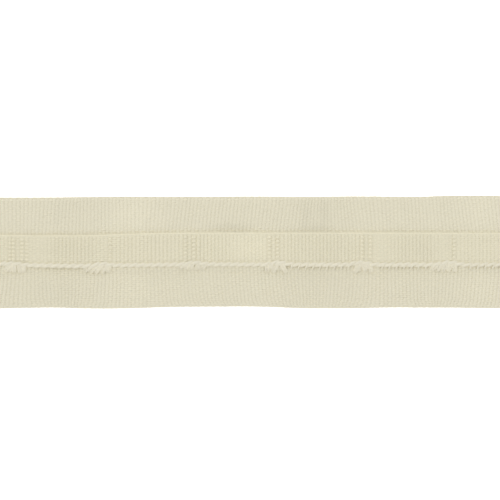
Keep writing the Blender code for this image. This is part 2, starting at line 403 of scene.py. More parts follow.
def mesh_piece(name, points, faces, tone_and_painted_shading):
    """A mesh object with its faces turned outwards and a shade for every point, which holds painted light
    and shade.
    """
    mesh = bpy.data.meshes.new(name)
    mesh.from_pydata(points.tolist(), [], faces)
    shape = bmesh.new()
    shape.from_mesh(mesh)
    bmesh.ops.recalc_face_normals(shape, faces=shape.faces)
    shape.to_mesh(mesh)
    shape.free()
    shade = mesh.attributes.new("tone_and_painted_shading", "FLOAT", "POINT")
    shade.data.foreach_set("value", tone_and_painted_shading.astype(np.float32))
    piece = bpy.data.objects.new(name, mesh)
    bpy.context.collection.objects.link(piece)
    return piece


def ring_faces(count, sides, first=0):
    """Faces of one closed tube through rings of points, capped at both ends."""
    index = first + np.arange(count * sides).reshape(count, sides)
    here = index[:-1]
    there = index[1:]
    quads = np.stack([here, np.roll(here, -1, 1), np.roll(there, -1, 1), there], axis=-1)
    return quads.reshape(-1, 4).tolist() + [index[0].tolist(), index[-1].tolist()]


def loft(name, rings, tone_and_painted_shading):
    """One closed sheet through rings of points."""
    count, sides = rings.shape[:2]
    return mesh_piece(name, rings.reshape(-1, 3), ring_faces(count, sides), tone_and_painted_shading.reshape(-1))


def bundle(name, tubes, sides):
    """One mesh of closed tubes. Each is its rings of points and the shade of every ring."""
    points = []
    faces = []
    tones = []
    for rings, shades in tubes:
        faces += ring_faces(len(shades), sides, sum(map(len, tones)))
        points.append(rings.reshape(-1, 3))
        tones.append(np.repeat(shades, sides))
    return mesh_piece(name, np.concatenate(points), faces, np.concatenate(tones))


def woven_yarns(name, lanes):
    """One mesh of flat yarns that run along the tape. A lane is a yarn's points, half sizes and shades."""
    angles = math.pi / 2 + np.arange(WARP_SIDES) * math.tau / WARP_SIDES
    tubes = []
    for centres, half_widths, half_heights, shades in lanes:
        rings = np.repeat(centres[:, None, :], WARP_SIDES, axis=1)
        rings[..., 1] += half_widths[:, None] * np.cos(angles)
        rings[..., 2] += half_heights[:, None] * np.sin(angles)
        tubes.append((rings, shades))
    return bundle(name, tubes, WARP_SIDES)


def tube(path, radii, sides):
    """Rings of points round a path."""
    ahead = np.gradient(path, axis=0)
    ahead /= np.linalg.norm(ahead, axis=1)[:, None]
    side = np.cross(ahead[0], (0.0, 0.0, 1.0))
    if np.linalg.norm(side) < 0.1:
        side = np.cross(ahead[0], (1.0, 0.0, 0.0))
    angles = np.arange(sides) * math.tau / sides
    rings = np.empty((len(path), sides, 3))
    for i, point in enumerate(path):
        side = side - ahead[i] * (side @ ahead[i])
        side /= np.linalg.norm(side)
        up = np.cross(side, ahead[i])
        rings[i] = point + radii[i] * (np.cos(angles)[:, None] * side + np.sin(angles)[:, None] * up)
    return rings


def yarns(name, strands, sides=8):
    """One mesh of many round yarns. A strand is its path, its radii and its shade."""
    tubes = [(tube(path, radii, sides), np.full(len(path), shade)) for path, radii, shade in strands]
    return bundle(name, tubes, sides)


def curve_through(points, steps):
    """A smooth path through points, evenly stepped between each two."""
    points = np.asarray(points, float)
    knots = np.arange(len(points), dtype=float)
    t = np.linspace(0, len(points) - 1, steps * (len(points) - 1) + 1)
    return np.stack([smooth_through(t, knots, points[:, k]) for k in range(3)], axis=1)


def twisted(path, plies, core, ply, lay, shade):
    """The plies of a twisted yarn: core is their distance from the path, lay the length of a turn."""
    ahead = np.gradient(path, axis=0)
    far = np.concatenate([[0], np.cumsum(np.linalg.norm(np.diff(path, axis=0), axis=1))])
    ahead /= np.linalg.norm(ahead, axis=1)[:, None]
    side = np.cross(ahead, (0.0, 0.0, 1.0))
    side /= np.linalg.norm(side, axis=1)[:, None]
    up = np.cross(side, ahead)
    strands = []
    for k in range(plies):
        turn = (math.tau * (far / lay + k / plies))[:, None]
        middle = path + core * (np.cos(turn) * side + np.sin(turn) * up)
        strands.append((middle, np.full(len(path), ply), shade))
    return strands


# Finishes


ALONG_THE_TAPE = (1.0, 0.0, 0.0)
ACROSS_THE_TAPE = (0.0, 1.0, 0.0)
FIBRE_STRETCH = 12.0
FIBRE_SCALE = 9000.0
SLUB_SCALE = 420.0


def set_inputs(node, values):
    """Sets inputs of a shader node by their names."""
    for name, value in values.items():
        node.inputs[name].default_value = value


def fine_noise(tree, vector, scale, detail, roughness=0.5):
    """Values of a noise over the piece."""
    node = tree.nodes.new("ShaderNodeTexNoise")
    set_inputs(node, {"Scale": scale, "Detail": detail, "Roughness": roughness})
    tree.links.new(vector, node.inputs["Vector"])
    return node.outputs["Fac"]


def shade_between(tree, values, low, high, least=0.0, most=1.0):
    """Values from least to most, spread to run from low to high."""
    node = tree.nodes.new("ShaderNodeMapRange")
    set_inputs(node, {"From Min": least, "From Max": most, "To Min": low, "To Max": high})
    tree.links.new(values, node.inputs["Value"])
    return node.outputs["Result"]


def shades_together(tree, first, second):
    """Two shades multiplied."""
    node = tree.nodes.new("ShaderNodeMath")
    node.operation = "MULTIPLY"
    tree.links.new(first, node.inputs[0])
    tree.links.new(second, node.inputs[1])
    return node.outputs["Value"]


def cream_cloth(name, colour, fibres_run=ALONG_THE_TAPE):
    """Matt cream polyester, shaded point by point with painted light and shade, with fine fibres that run
    one way and break its gloss.
    """
    material = bpy.data.materials.new(name)
    material.use_nodes = True
    tree = material.node_tree
    shader = tree.nodes["Principled BSDF"]
    set_inputs(shader, {"Specular IOR Level": 0.25, "Sheen Weight": 0.12, "Sheen Roughness": 0.5})

    place = tree.nodes.new("ShaderNodeTexCoord")
    stretch = tree.nodes.new("ShaderNodeMapping")
    stretch.inputs["Scale"].default_value = [1 / (1 + (FIBRE_STRETCH - 1) * share) for share in fibres_run]
    tree.links.new(place.outputs["Object"], stretch.inputs["Vector"])
    fibres = fine_noise(tree, stretch.outputs["Vector"], FIBRE_SCALE, 3.0, 0.7)
    slubs = fine_noise(tree, stretch.outputs["Vector"], SLUB_SCALE, 2.0)

    # Each point's shade, which holds painted light and shade
    shade = tree.nodes.new("ShaderNodeAttribute")
    shade.attribute_name = "tone_and_painted_shading"
    streaks = shade_between(tree, fibres, 0.945, 1.065, least=0.3, most=0.7)
    mottle = shade_between(tree, slubs, 0.972, 1.028)
    strength = shades_together(tree, shade.outputs["Fac"], shades_together(tree, streaks, mottle))
    tint = tree.nodes.new("ShaderNodeVectorMath")
    tint.operation = "SCALE"
    tint.inputs[0].default_value = colour
    tree.links.new(strength, tint.inputs["Scale"])
    tree.links.new(tint.outputs["Vector"], shader.inputs["Base Color"])
    tree.links.new(shade_between(tree, fibres, 0.72, 0.95), shader.inputs["Roughness"])

    relief = tree.nodes.new("ShaderNodeBump")
    set_inputs(relief, {"Strength": 0.6, "Distance": 0.09 * MM})
    tree.links.new(fibres, relief.inputs["Height"])
    tree.links.new(relief.outputs["Normal"], shader.inputs["Normal"])
    return material


# Settings


class TapeWeave(PropertyGroup):
    upper_relief: FloatProperty(
        name="Upper relief", description="Height of the ribs over their grooves, above the band",
        default=0.17 * MM, unit="LENGTH",
    )
    lower_relief: FloatProperty(
        name="Lower relief", description="Height of the ribs over their grooves, below the mouth",
        default=0.19 * MM, unit="LENGTH",
    )
    band_relief: FloatProperty(
        name="Band relief", description="Height of the band's ribs over their grooves",
        default=0.19 * MM, unit="LENGTH",
    )
    ground_swing: FloatProperty(
        name="Ground swing", description="Half the rise of the ground's warp yarns over a rib",
        default=0.15 * MM, unit="LENGTH",
    )
    band_swing: FloatProperty(
        name="Band swing", description="Half the rise of the band's warp yarns over a rib",
        default=0.16 * MM, unit="LENGTH",
    )
    upper_bead: FloatProperty(
        name="Upper bead", description="How far a float stands over its rib, above the band",
        default=0.055 * MM, unit="LENGTH",
    )
    band_bead: FloatProperty(
        name="Band bead", description="How far a float stands over its rib, in the band",
        default=0.08 * MM, unit="LENGTH",
    )
    lower_bead: FloatProperty(
        name="Lower bead", description="How far a float stands over its rib, below the mouth",
        default=0.075 * MM, unit="LENGTH",
    )
    upper_yarns: IntProperty(name="Upper yarns", description="Warp yarns above the band", default=19)
    band_yarns: IntProperty(name="Band yarns", description="Warp yarns across the pocket band", default=14)
    lower_yarns: IntProperty(name="Lower yarns", description="Warp yarns below the mouth", default=21)
    selvedge_swirl: FloatProperty(
        name="Selvedge swirl", description="How far the ribs stray by the edges",
        default=0.35 * MM, unit="LENGTH",
    )


class TapeColours(PropertyGroup):
    ground: FloatVectorProperty(
        name="Ground", description="Colour of the ground cloth",
        subtype="COLOR", default=(0.798, 0.752, 0.59),
    )
    band: FloatVectorProperty(
        name="Band", description="Colour of the pocket cloth",
        subtype="COLOR", default=(0.803, 0.754, 0.58),
    )
    strand: FloatVectorProperty(
        name="Strand", description="Colour of the thick strand and the ties",
        subtype="COLOR", default=(0.824, 0.779, 0.63),
    )


class TapeStage(PropertyGroup):
    lens: FloatProperty(name="Lens", description="Focal length in mm", default=250.0)
    sky: FloatProperty(name="Sky", description="Brightness of the soft light all round", default=0.838)
    key: FloatProperty(name="Key", description="Strength of the soft light beyond the tape", default=0.43)
    floor_glow: FloatProperty(name="Floor glow", description="Light of the white table itself", default=0.5)


# Pieces


def ground_stations():
    """Places along the tape, several to a rib of the ground, and the ribs from the tape's middle to each."""
    ribs = TAPE_LENGTH / RIB_PITCH
    rib = np.linspace(-ribs / 2, ribs / 2, round(STATIONS_PER_RIB * ribs) + 1)
    return rib * RIB_PITCH, rib


def band_places(rib):
    """Where the pocket cloth's ribs lie along the tape."""
    places, ribs = np.array(BAND_RIBS).T
    return np.interp(rib, ribs, places * MM)


def band_stations():
    """Places along the tape, several to a rib of the pocket cloth, and the number of ribs to each."""
    first = BAND_RIBS[0][1]
    last = BAND_RIBS[-1][1]
    rib = np.linspace(first, last, round(STATIONS_PER_RIB * (last - first)) + 1)
    return band_places(rib), rib


def selvedges(u, rib, lines):
    """The tape's two edges, scalloped where the weft turns round every second rib."""
    scallop = SELVEDGE_SCALLOP * np.cos(math.pi * rib)
    rough = SELVEDGE_ROUGHNESS * unevenness(u, 0 * u, 1.2 * MM, 1 * MM, SEEDS["selvedges"])
    upper = lines["upper_edge"] - SELVEDGE_INSET + scallop + rough
    lower = lines["lower_edge"] + SELVEDGE_INSET + scallop - np.roll(rough, SELVEDGE_STAGGER)
    return upper, lower


def to_nearer_edge(v, edges):
    """How far a place is from the nearer selvedge."""
    return np.minimum(edges[0] - v, v - edges[1])


def ground_place(u, v, lines, edges, swirl):
    """Where a place on the ground's face is along the tape, once its rib leans and strays by the edges."""
    above = np.maximum(v - lines["band_line"], 0)
    below = np.maximum(lines["mouth"] - v, 0)
    by_edge = 1 - ease(to_nearer_edge(v, edges) / SWIRL_REACH)
    share = np.where(below > 0, 1.0, UPPER_SWIRL)
    stray = swirl * share * by_edge * unevenness(u, v, 3.5 * MM, 1.3 * MM, SEEDS["swirl"])
    loose = RIB_LOOSENESS * RIB_PITCH * unevenness(u, v, 1.4 * RIB_PITCH, 4 * MM, SEEDS["loose ribs"])
    return u + rib_shift(u, above, below, lines) + stray + loose


def ground_height(u, v, lines, edges):
    """Height of the ground's face without its weave."""
    above = np.maximum(v - lines["band_line"], 0)
    below = np.maximum(lines["mouth"] - v, 0)
    shoulder = ease(to_nearer_edge(v, edges) / SELVEDGE_SHOULDER)
    height = GROUND_THICKNESS - SELVEDGE_DROP * (1 - shoulder) ** 2
    swells = unevenness(u, v, 14 * MM, 6 * MM, SEEDS["ground swells"])
    height += GROUND_SWELL * swells * ease((above + below) / (2 * MM))

    under_line = ease((lines["band_line"] - v) / (0.3 * MM))
    behind_strand = ease((v - lines["mouth"] - 0.5 * MM) / (0.35 * MM))
    height -= (RECESS - 0.02 * MM) * under_line * behind_strand

    slack = 1
    for place, length, amount in LINE_SLACK:
        slack = slack + amount * bulge(u / MM, place, length)
    height -= TROUGH_DEPTH * slack * bulge(above, 0, TROUGH_WIDTH * slack**0.5, 2) * (above > 0)
    return height + np.maximum(tie_pad(u, v, lines), mouth_sill(u, v, lines))


def mouth_sill(u, v, lines):
    """Cloth that fills the mouth under the strand, low where one pocket stands open."""
    below = np.maximum(lines["mouth"] - v, 0)
    sill = (1 - ease(below / (1.5 * MM))) * (1 - ease((v - lines["mouth"] - 0.5 * MM) / (0.4 * MM)))
    place, length, share = SILL_DIP
    return MOUTH_SILL * (sill * (1 - share * bulge(u / MM, place, length)))


def tie_pad(u, v, lines):
    """Cloth that fills the mouth at each join, where the band is woven down into the ground."""
    middle = lines["mouth"] + STRAND_WIDTH / 2
    below_strand = 1 - ease((middle - v - 0.9 * MM) / (0.8 * MM))
    above_strand = 1 - ease((v - middle - 0.4 * MM) / (0.4 * MM))
    height = np.zeros(len(u))
    for join, pad_place, width, pad in join_rows("place", "pad_place", "pad_width", "pad"):
        height += pad * MM * bulge(u, join + pad_place * MM, width / 2 * MM) * (below_strand * above_strand)
    return height


def ground_sheet(weave_set):
    """Rings of points round the ground cloth, with its weft's ribs on its face, and their shades."""
    u, rib = ground_stations()
    lines = lines_at(u)
    edges = selvedges(u, rib, lines)
    line = lines["band_line"]
    mouth = lines["mouth"]
    upper_rows = round(GROUND_ROWS_PER_YARN * weave_set.upper_yarns)
    lower_rows = round(GROUND_ROWS_PER_YARN * weave_set.lower_yarns)
    rows = [line + (edges[0] - line) * share for share in np.linspace(1, 0, upper_rows)]
    rows += [mouth + (line - mouth) * share for share in np.linspace(0.93, 0.07, HIDDEN_ROWS)]
    rows += [mouth + (edges[1] - mouth) * share for share in np.linspace(0, 1, lower_rows)]
    rings = []
    shades = []
    for v in rows:
        place = ground_place(u, v, lines, edges, weave_set.selvedge_swirl)
        under_band = (v < line - 0.1 * MM) & (v > mouth + 0.6 * MM)
        flange_relief = np.where(v < mouth + 0.6 * MM, weave_set.lower_relief, weave_set.upper_relief)
        relief = np.where(under_band, 0, rib_relief(rib, u, v, flange_relief, SEEDS["ground ribs"]))
        shoulder = ease(to_nearer_edge(v, edges) / SELVEDGE_SHOULDER)
        height = ground_height(u, v, lines, edges) + relief * (0.4 + 0.6 * shoulder)
        rings.append(np.stack([place, v, height], axis=1))
        # Painted light on the ribs' crowns and painted shade in their grooves, and the soft areas of painted
        # light and shade
        shades.append(WEFT_TONE + RIB_PAINTED_SHADING * relief / flange_relief + painted_shading(place, v))

    back = BACK_RELIEF * (1 + np.cos(2 * math.pi * rib)) / 2
    for v, z in (
        (edges[1] - 0.02 * MM, 0.45 * MM + 0 * u),
        (edges[1] + 0.12 * MM, 0.12 * MM + 0 * u),
        (edges[1] + 0.6 * MM, back),
        (mouth, back),
        (line, back),
        (edges[0] - 0.6 * MM, back),
        (edges[0] - 0.12 * MM, 0.12 * MM + 0 * u),
        (edges[0] + 0.02 * MM, 0.45 * MM + 0 * u),
    ):
        place = u + rib_shift(u, np.maximum(v - line, 0), np.maximum(mouth - v, 0), lines)
        rings.append(np.stack([place, v, z], axis=1))
        shades.append(np.ones(len(u)))
    return np.stack(rings, axis=1), np.stack(shades, axis=1)


def ground_lanes(weave_set, start, end, count, relief, bead):
    """The warp yarns of one flange, from the line named start out to the edge named end."""
    u, rib = ground_stations()
    lines = lines_at(u)
    edges = selvedges(u, rib, lines)
    inner = lines[start]
    outer = edges[0] if end == "upper_edge" else edges[1]
    lanes = []
    for lane in range(count):
        v = inner + (outer - inner) * (lane + 0.5) / count
        place = ground_place(u, v, lines, edges, weave_set.selvedge_swirl)
        base = ground_height(u, v, lines, edges)
        across, height, half_width, half_height, shade = float_path(
            rib, u, v, lane, base, relief, weave_set.ground_swing, bead, SEEDS["ground warp"]
        )
        points = np.stack([place, across, height], axis=1)
        # Each yarn's own shades, with the soft areas of painted light and shade
        lanes.append((points, half_width, half_height, shade + painted_shading(place, v)))
    return lanes


class BLINDTAPE_OT_ground_cloth(Operator):
    """Weave the ground cloth over its solid: its weft as one ribbed sheet, its warp as yarns over it"""

    bl_idname = "blindtape.ground_cloth"
    bl_label = "Ground cloth"

    def execute(self, context):
        weave_set = context.scene.tape_weave
        colour = context.scene.tape_colours.ground
        rings, shades = ground_sheet(weave_set)
        piece = loft("ground_cloth", rings, shades)
        hang(piece, cream_cloth("cream ground weft", colour, ACROSS_THE_TAPE), "ground_tape")
        warp = cream_cloth("cream ground warp", colour)
        upper = (weave_set.upper_yarns, weave_set.upper_relief, weave_set.upper_bead)
        lower = (weave_set.lower_yarns, weave_set.lower_relief, weave_set.lower_bead)
        for name, start, end, sizes in (
            ("upper_warp", "band_line", "upper_edge", upper),
            ("lower_warp", "mouth", "lower_edge", lower),
        ):
            piece = woven_yarns(name, ground_lanes(weave_set, start, end, *sizes))
            hang(piece, warp)
        return {"FINISHED"}


def band_height(u, v, lines):
    """Height of the pocket cloth's plain face: a low step at its line, then a rise to the strand."""
    line = lines["band_line"]
    slope = np.clip((line - v) / (line - lines["mouth"] - STRAND_INNER), 0, 1)
    lift = pocket_rise(u) * (line - v) / (line - lines["mouth"])
    roll = BAND_ROLL_DROP * ease((slope - BAND_ROLL) / (1 - BAND_ROLL))
    return GROUND_THICKNESS + LINE_STEP + (BAND_CREST - LINE_STEP) * slope**0.8 + lift - roll


def band_weave(u, rib):
    """How strongly the pocket cloth's ribs stand out, how low it lies at the joins, and the painted shade
    beside its beads.
    """
    places, amounts = np.array(BAND_TIGHTNESS).T
    tight = np.interp(u, places * MM, amounts)
    swell = np.zeros(len(u))
    shade = np.zeros(len(u))
    for division in DIVISION_RIBS:
        swell -= DIVISION_DROP * bulge(rib, division, 0.6)
    for beaded, size in BEADED_RIBS:
        tight = tight * (1 - 0.3 * size * bulge(rib, beaded, 0.75))
        # Painted shade on the cloth beside each beaded rib
        shade -= BESIDE_BEAD_PAINTED_SHADE * size * bulge(np.abs(rib - beaded), 0.55, 0.25, 2)
    return tight, swell, shade


def band_sheet(weave_set):
    """Rings of points round the pocket cloth, with its weft's ribs on its face, and their shades."""
    u, rib = band_stations()
    lines = lines_at(u)
    line = lines["band_line"]
    mouth = lines["mouth"]
    tight, swell, painted_bead_shade = band_weave(u, rib)
    rings = []
    shades = []

    def add(v, z, shade):
        rings.append(np.stack([u, v, z + 0 * u], axis=1))
        shades.append(shade + 0 * u)

    lip_top = GROUND_THICKNESS + LINE_STEP
    add(line + 0.06 * MM, GROUND_THICKNESS - 0.2 * MM, 1.0)
    add(line + 0.1 * MM, GROUND_THICKNESS + 0.1 * MM, 1.0)
    add(line + 0.02 * MM, lip_top - 0.16 * MM, 1.0)
    add(line - 0.12 * MM, lip_top - 0.04 * MM, 1.0)

    rows = round(BAND_ROWS_PER_YARN * weave_set.band_yarns)
    for row in range(rows + 1):
        share = row / rows
        v = line - LIP_WIDTH + (mouth + STRAND_INNER - line + LIP_WIDTH) * share
        fade = ease(share * 12 + 0.3) * ease((1 - share) * 12 + 0.4)
        relief = swell + rib_relief(rib, u, v, weave_set.band_relief * tight, SEEDS["band ribs"])
        # Painted light on the ribs' crowns, painted shade in their grooves and beside the beads, and the
        # soft areas of painted light and shade
        shade = WEFT_TONE + RIB_PAINTED_SHADING * relief / weave_set.band_relief + painted_bead_shade + painted_shading(u, v)
        add(v, band_height(u, v, lines) + relief * fade, shade)

    # The band's back, darkened with painted shade where no light reaches
    core = STRAND_HEIGHT + pocket_rise(u)
    lift = pocket_rise(u) / (line - mouth)
    for v, z in (
        (mouth + 0.7 * MM, core + 0.16 * MM),
        (mouth + 0.42 * MM, core - 0.05 * MM),
        (mouth + 0.5 * MM, core - 0.3 * MM),
        (mouth + 0.9 * MM, core - 0.38 * MM),
        ((line + mouth) / 2, BAND_LIFT + lift * (line - mouth) / 2),
        (line - 1.0 * MM, BAND_LIFT - 0.1 * MM + lift * MM),
        (line - 0.3 * MM, GROUND_THICKNESS - 0.2 * MM),
    ):
        add(v, z, UNDERSIDE_PAINTED_SHADE)
    return np.stack(rings, axis=1), np.stack(shades, axis=1)


def lip_yarn(u, line):
    """The yarn that lies straight along the band's upper line and doesn't dive."""
    rough = 0.02 * MM * unevenness(u, 0 * u, 1.1 * MM, MM, SEEDS["band lip"])
    height = GROUND_THICKNESS + LINE_STEP - 0.1 * MM + rough
    points = np.stack([u, line - 0.13 * MM, height], axis=1)
    # The lip yarn is painted paler, as painted light on the lit step at the band's line, with the soft areas
    # of painted light and shade
    return points, np.full(len(u), 0.19 * MM), np.full(len(u), 0.16 * MM), 1.07 + painted_shading(u, line)


def band_lanes(weave_set):
    """The warp yarns of the pocket cloth, from its upper line to the strand."""
    u, rib = band_stations()
    lines = lines_at(u)
    line = lines["band_line"]
    tight, swell, painted_bead_shade = band_weave(u, rib)
    inner = lines["mouth"] + 0.9 * STRAND_WIDTH
    lanes = [lip_yarn(u, line)]
    count = weave_set.band_yarns
    for lane in range(count):
        v = line - LIP_WIDTH + (inner - line + LIP_WIDTH) * (lane + 0.5) / count
        base = band_height(u, v, lines) + swell
        across, height, half_width, half_height, shade = float_path(
            rib, u, v, lane, base, weave_set.band_relief * tight, weave_set.band_swing * tight,
            weave_set.band_bead, SEEDS["band warp"],
        )
        points = np.stack([u, across, height], axis=1)
        # Painted light and shade of the floats, painted shade beside the beads, and the soft areas of
        # painted light and shade
        lanes.append((points, half_width, half_height, shade + painted_bead_shade + painted_shading(u, v)))
    return lanes


def join_bead(place, row, size):
    """A short thick float over one rib beside a division: its points, half sizes and shades."""
    t = np.linspace(-1, 1, 9)
    lines = lines_at(np.array([place]))
    across = lines["band_line"][0] - FIRST_BEAD - row * BEAD_PITCH
    middle = band_height(np.array([place]), across, lines)[0]
    height = middle + BEAD_RISE * size * (1 - t**2) - BEAD_DIVE * t**4
    points = np.stack([place + BEAD_HALF_LENGTH * t, across + 0 * t, height], axis=1)
    round_off = np.sqrt(1 - 0.75 * t**2)
    half_height = (0.1 + 0.05 * size) * MM
    # Painted highlight: a bead is painted paler the bigger it stands
    return points, BEAD_HALF_WIDTH * round_off, half_height * round_off, 1.0 + 0.04 * size + 0 * t


def join_beads():
    """Beads in columns on the ribs beside the divisions, level with one another."""
    return [
        join_bead(band_places(rib), row, size)
        for rib, size in BEADED_RIBS
        for row in range(BEAD_ROWS)
    ]


class BLINDTAPE_OT_pocket_band(Operator):
    """Weave the pocket cloth over its solid: its weft as one ribbed sheet, with its warp yarns over it"""

    bl_idname = "blindtape.pocket_band"
    bl_label = "Pocket band"

    def execute(self, context):
        weave_set = context.scene.tape_weave
        colour = context.scene.tape_colours.band
        rings, shades = band_sheet(weave_set)
        piece = loft("pocket_cloth", rings, shades)
        hang(piece, cream_cloth("cream pocket weft", colour, ACROSS_THE_TAPE), "pocket_band")
        warp = cream_cloth("cream pocket warp", colour)
        for name, lanes in (("pocket_warp", band_lanes(weave_set)), ("join_beads", join_beads())):
            piece = woven_yarns(name, lanes)
            hang(piece, warp)
        return {"FINISHED"}


def strand_path(u):
    """The middle line of the mouth's strand, which humps over each tie."""
    lines = lines_at(u)
    v = lines["mouth"] + 0.5 * STRAND_WIDTH - STRAND_DROP
    z = STRAND_HEIGHT + pocket_rise(u)
    for join, hump_place, hump in join_rows("place", "hump_place", "hump"):
        near = bulge(u, join + hump_place * MM, HUMP_LENGTH, 2)
        v = v + hump * MM * near
        z = z + HUMP_LIFT * near
    v = v + 0.03 * MM * unevenness(u, 0 * u, 1.7 * MM, MM, SEEDS["strand"])
    return np.stack([u, v, z], axis=1)


class BLINDTAPE_OT_mouth_strand(Operator):
    """Twist the thick strand along the pockets' mouth"""

    bl_idname = "blindtape.mouth_strand"
    bl_label = "Mouth strand"

    def execute(self, context):
        half = TAPE_LENGTH / 2 - 0.02 * MM
        path = strand_path(np.linspace(-half, half, STRAND_STATIONS))
        piece = yarns("mouth_strand", twisted(path, 2, STRAND_CORE, STRAND_PLY, STRAND_LAY, 1.0), 12)
        hang(piece, cream_cloth("pale twisted yarn", context.scene.tape_colours.strand))
        return {"FINISHED"}


# The ties' stitches at each join, left to right: where each comes out from under the strand and where its
# foot is, in mm from the join's middle, and how far below the strand's middle the foot stands
TIES = (
    ((-1.6, -1.5, 1.4), (-0.5, -0.9, 1.3), (0.9, -0.1, 1.5), (1.4, 2.4, 1.5)),
    ((-2.3, -3.7, 1.3), (-2.6, -2.7, 1.5), (-1.8, -1.7, 1.6), (-0.6, -0.3, 1.6), (0.5, 0.5, 1.5)),
    ((-4.3, -5.8, 1.2), (-3.1, -4.6, 1.4), (-1.9, -3.3, 1.5), (-0.7, -2.0, 1.5), (-0.3, -0.6, 1.4)),
    ((-2.1, -2.8, 0.9), (-1.0, -1.5, 1.0), (0.1, -0.5, 0.9), (1.4, 1.0, 1.0), (2.8, 2.3, 0.9)),
    ((-1.6, -1.5, 1.5), (-0.6, -0.7, 1.1), (1.0, -0.1, 1.6), (1.5, 2.6, 1.6)),
    ((-0.5, -1.8, 1.5), (-0.2, 0.6, 1.4), (0.8, 1.0, 1.0), (1.6, 1.9, 1.6)),
    ((-3.6, -4.6, 1.1), (-2.4, -3.4, 1.3), (-1.2, -2.2, 1.4), (-0.3, -0.9, 1.4), (0.6, 0.6, 1.5)),
    ((-1.6, -1.5, 1.4), (-0.5, -0.9, 1.3), (0.9, -0.1, 1.5), (1.4, 2.4, 1.5)),
)
STITCH_ROPES = (-0.32 * MM, 0.0, 0.32 * MM)
STITCH_PLY = 0.17 * MM
STITCH_CORE = 0.1 * MM
STITCH_LAY = 1.6 * MM


def stitch(place, top, foot, below, draw):
    """The twisted yarns of one flat stitch, side by side, from under the strand's crown to the ground."""
    start = strand_path(np.array([place + top * MM]))[0]
    foot_line = lines_at(np.array([place + foot * MM]))["mouth"][0] + STRAND_WIDTH / 2
    reach = start[1] - (foot_line - below * MM)
    run = foot - top
    tuck = 0.12 * run
    middle = curve_through(
        (
            (place + (top - tuck) * MM, start[1] + 0.12 * MM, start[2] + 0.2 * MM),
            (place + (top + 0.3 * run) * MM, start[1] - 0.33 * reach, start[2] + 0.22 * MM),
            (place + (top + 0.72 * run) * MM, start[1] - 0.74 * reach, GROUND_THICKNESS + 0.52 * MM),
            (place + foot * MM, start[1] - reach, GROUND_THICKNESS + 0.25 * MM),
            (place + (foot + tuck) * MM, start[1] - reach - 0.2 * MM, GROUND_THICKNESS - 0.2 * MM),
        ),
        6,
    )
    ahead = np.gradient(middle, axis=0)
    side = np.stack([-ahead[:, 1], ahead[:, 0], 0 * ahead[:, 0]], axis=1)
    side /= np.linalg.norm(side, axis=1)[:, None]
    strands = []
    for offset in STITCH_ROPES:
        path = middle + side * (offset + draw.uniform(-0.05, 0.05) * MM)
        path[:, 2] += draw.uniform(-0.06, 0.06) * MM
        strands += twisted(path, 2, STITCH_CORE, STITCH_PLY, STITCH_LAY, draw.uniform(0.99, 1.06))
    return strands


class BLINDTAPE_OT_tie_yarns(Operator):
    """Stitch the strand down to the ground at each join, in flat stitches of several yarns"""

    bl_idname = "blindtape.tie_yarns"
    bl_label = "Tie yarns"

    def execute(self, context):
        draw = np.random.default_rng(SEEDS["ties"])
        strands = []
        for place, stitches in zip(JOIN_PLACES, TIES):
            for top, foot, below in stitches:
                strands += stitch(place, top, foot, below, draw)
        piece = yarns("tie_yarns", strands)
        hang(piece, cream_cloth("pale tie yarn", context.scene.tape_colours.strand))
        return {"FINISHED"}


# Where floats stand clear over an open gap in the mouth: from one rib to another, one to every second rib
OPEN_STRETCHES = ((70.4, 88.4), (94.9, 110.9), (119, 135))
MOUTH_FLOAT_HALF_WIDTH = 0.21 * MM
MOUTH_FLOAT_TONE = 1.02


def mouth_float(rib, lean):
    """The path of one float, from over the strand down to the ground, leaning to the right at its top."""
    core = strand_path(np.array([band_places(rib)]))[0]
    return curve_through(
        (
            core + np.array((1.6 * lean, 0.1 * MM, 0.36 * MM)),
            core + np.array((lean, -0.3 * MM, 0.42 * MM)),
            core + np.array((0.4 * lean, -0.62 * MM, 0.28 * MM)),
            (core[0], core[1] - 0.88 * MM, GROUND_THICKNESS + 0.46 * MM),
            (core[0] - 0.3 * lean, core[1] - 1.15 * MM, GROUND_THICKNESS + 0.1 * MM),
        ),
        6,
    )


class BLINDTAPE_OT_mouth_floats(Operator):
    """Stitch the short floats from the strand down to the ground, one to every second rib"""

    bl_idname = "blindtape.mouth_floats"
    bl_label = "Mouth floats"

    def execute(self, context):
        draw = np.random.default_rng(SEEDS["floats"])
        strands = []
        for start, end in OPEN_STRETCHES:
            for rib in np.arange(start, end + 1, 2):
                path = mouth_float(rib, draw.uniform(0.1, 0.35) * MM)
                strands.append((path, np.full(len(path), MOUTH_FLOAT_HALF_WIDTH), MOUTH_FLOAT_TONE))
        piece = yarns("mouth_floats", strands, 6)
        hang(piece, cream_cloth("pale float yarn", context.scene.tape_colours.strand))
        return {"FINISHED"}


LOOP_HALF_WIDTH = 0.16 * MM


def selvedge_loop(rib, side, line_name):
    """The path of the weft round one edge: side is 1 at the upper edge and -1 at the lower one."""
    turn = np.linspace(-0.5, 0.5, 9) * math.pi
    u = rib * RIB_PITCH
    lines = lines_at(np.array([u]))
    edge = lines[line_name][0]
    above = max(edge - lines["band_line"][0], 0)
    below = max(lines["mouth"][0] - edge, 0)
    x = u + rib_shift(u, above, below, lines)[0]
    return np.stack(
        [
            x + 0.95 * RIB_PITCH * np.sin(turn),
            edge + side * (0.2 * MM * np.cos(turn) - 0.34 * MM),
            0.58 * MM + 0.1 * MM * np.cos(2 * turn),
        ],
        axis=1,
    )


